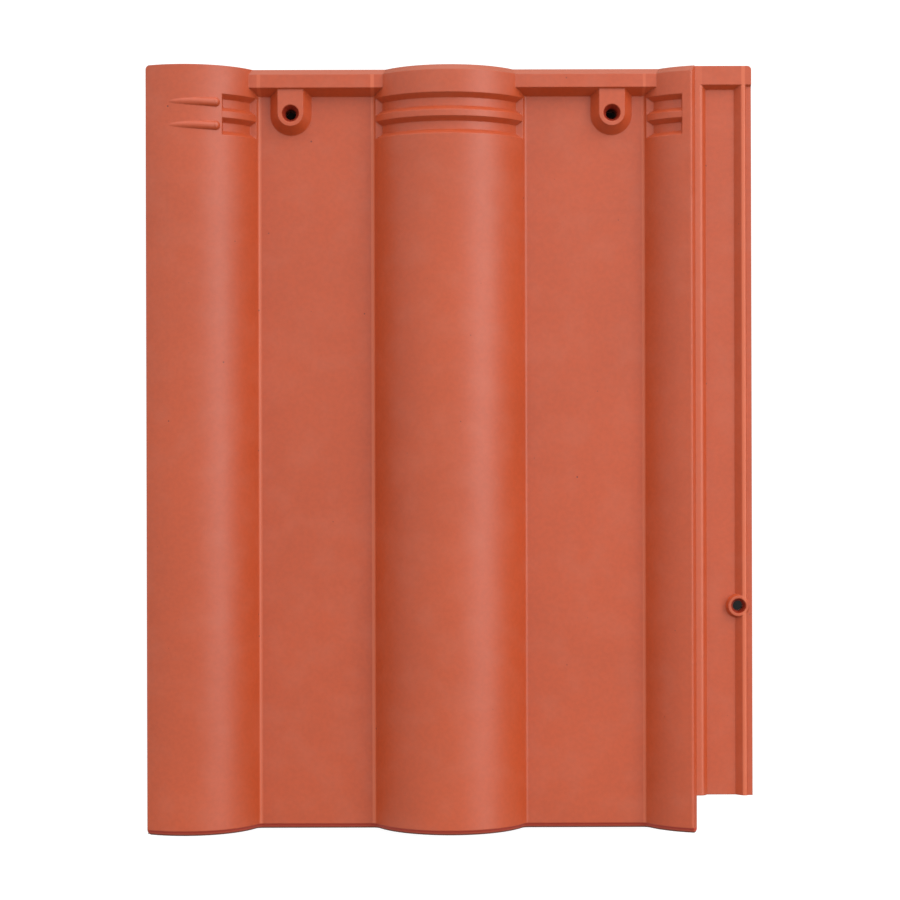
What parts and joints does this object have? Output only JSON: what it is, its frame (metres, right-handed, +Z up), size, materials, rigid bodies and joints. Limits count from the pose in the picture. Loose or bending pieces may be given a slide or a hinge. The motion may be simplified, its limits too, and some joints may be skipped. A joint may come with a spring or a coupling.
{
  "type": "interlocking roof tile",
  "caption": "Cast concrete interlocking roof tile with rounded rolls, flat pans, a head lip, nail bosses, a side lock and batten nibs underneath.",
  "frame": {"origin": "middle of the footprint, on the plane that the nibs and weather bars rest on", "axes": "+Y towards the head (the upper, battened end), +X towards the side lock, +Z up out of the weathered face"},
  "size_m": [0.3312, 0.42, 0.0486],
  "materials": {
    "coated_concrete": "matte"
  },
  "bodies": {
    "root": {"roof_tile": "coated_concrete"}
  },
  "joints": []
}
